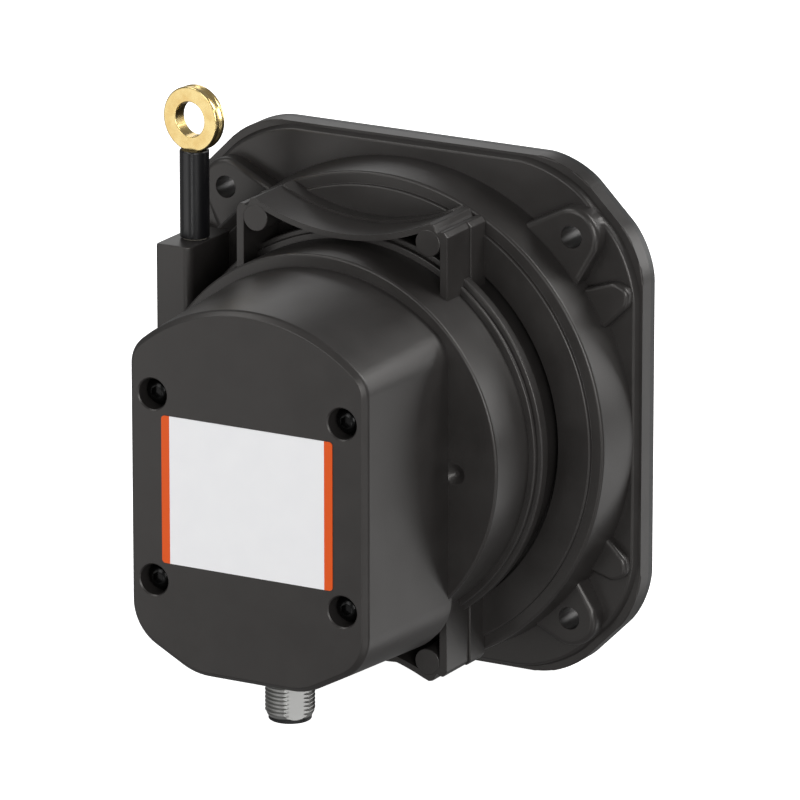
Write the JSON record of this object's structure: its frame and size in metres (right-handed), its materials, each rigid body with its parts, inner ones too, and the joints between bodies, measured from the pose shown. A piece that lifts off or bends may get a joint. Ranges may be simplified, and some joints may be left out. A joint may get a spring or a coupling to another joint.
{
  "type": "draw wire encoder",
  "caption": "Draw wire encoder: square flange with ears, round spring housing, wire drum cover, D-shaped encoder cover, wire outlet with sleeve and brass eyelet, M12 connector.",
  "frame": {"origin": "middle of the mounting flange, on the mounting face of the back plate", "axes": "+Z along the wire as it leaves the outlet, -Y out of the mounting face towards the encoder cover, +X to the right seen from the front"},
  "size_m": [0.127, 0.0845, 0.1429],
  "materials": {
    "housing": "glass-filled moulded plastic, fine grain",
    "steel": "zinc-plated or bright steel",
    "dark_steel": "blackened steel",
    "spring_steel": "tempered strip steel",
    "nickel": "nickel-plated brass",
    "brass": "polished brass",
    "gold": "gold-plated contacts",
    "seal": "black elastomer",
    "sleeve": "glossy black polymer",
    "drum": "moulded acetal",
    "ceramic": "fired ceramic",
    "board": "solder mask on glass-epoxy",
    "chips": "moulded epoxy",
    "label": "printed film, plain"
  },
  "bodies": {
    "housing": {"back_plate": "dark_steel", "plate_screws": "steel", "base_seal": "seal", "base_housing": "housing", "spring_cup": "steel", "mainspring": "spring_steel", "rear_bearing_outer": "steel", "drum_cover": "housing", "drum_cover_screws": "steel", "front_bearing_outer": "steel", "wire_wiper": "seal", "wire_guide": "ceramic", "circuit_board": "board", "sensor_chip": "chips", "board_parts": "chips", "board_screws": "steel", "cover_gasket": "seal", "encoder_cover": "housing", "cover_screws": "dark_steel", "label_plate": "label", "connector_shell": "nickel", "connector_insert": "chips", "connector_contacts": "gold", "connector_seal": "seal"},
    "drum": {"drum_shaft": "steel", "spring_arbor": "steel", "wire_drum": "drum", "wire_winding": "steel", "drum_set_screw": "dark_steel", "rear_bearing_inner": "steel", "rear_bearing_balls": "steel", "front_bearing_inner": "steel", "front_bearing_balls": "steel", "shaft_circlip": "dark_steel", "magnet_holder": "chips", "magnet": "steel"},
    "wire_end": {"measuring_wire": "steel", "wire_crimp": "steel", "wire_sleeve": "sleeve", "eyelet": "brass"}
  },
  "joints": [
    {"name": "wire_pull", "type": "slide", "parent": "housing", "child": "wire_end", "axis": [0, 0, 1], "range_m": [0, 5], "stiffness_N_per_m": 0.6, "springref_m": -12},
    {"name": "drum_spin", "type": "hinge", "parent": "housing", "child": "drum", "pos_m": [0, 0, -0.002], "axis": [0, 1, 0], "range_deg": [0, 6366.2]}
  ],
  "couplings": [
    {"joint": "drum_spin", "follows": "wire_pull", "rad_per_m": 22.222}
  ]
}
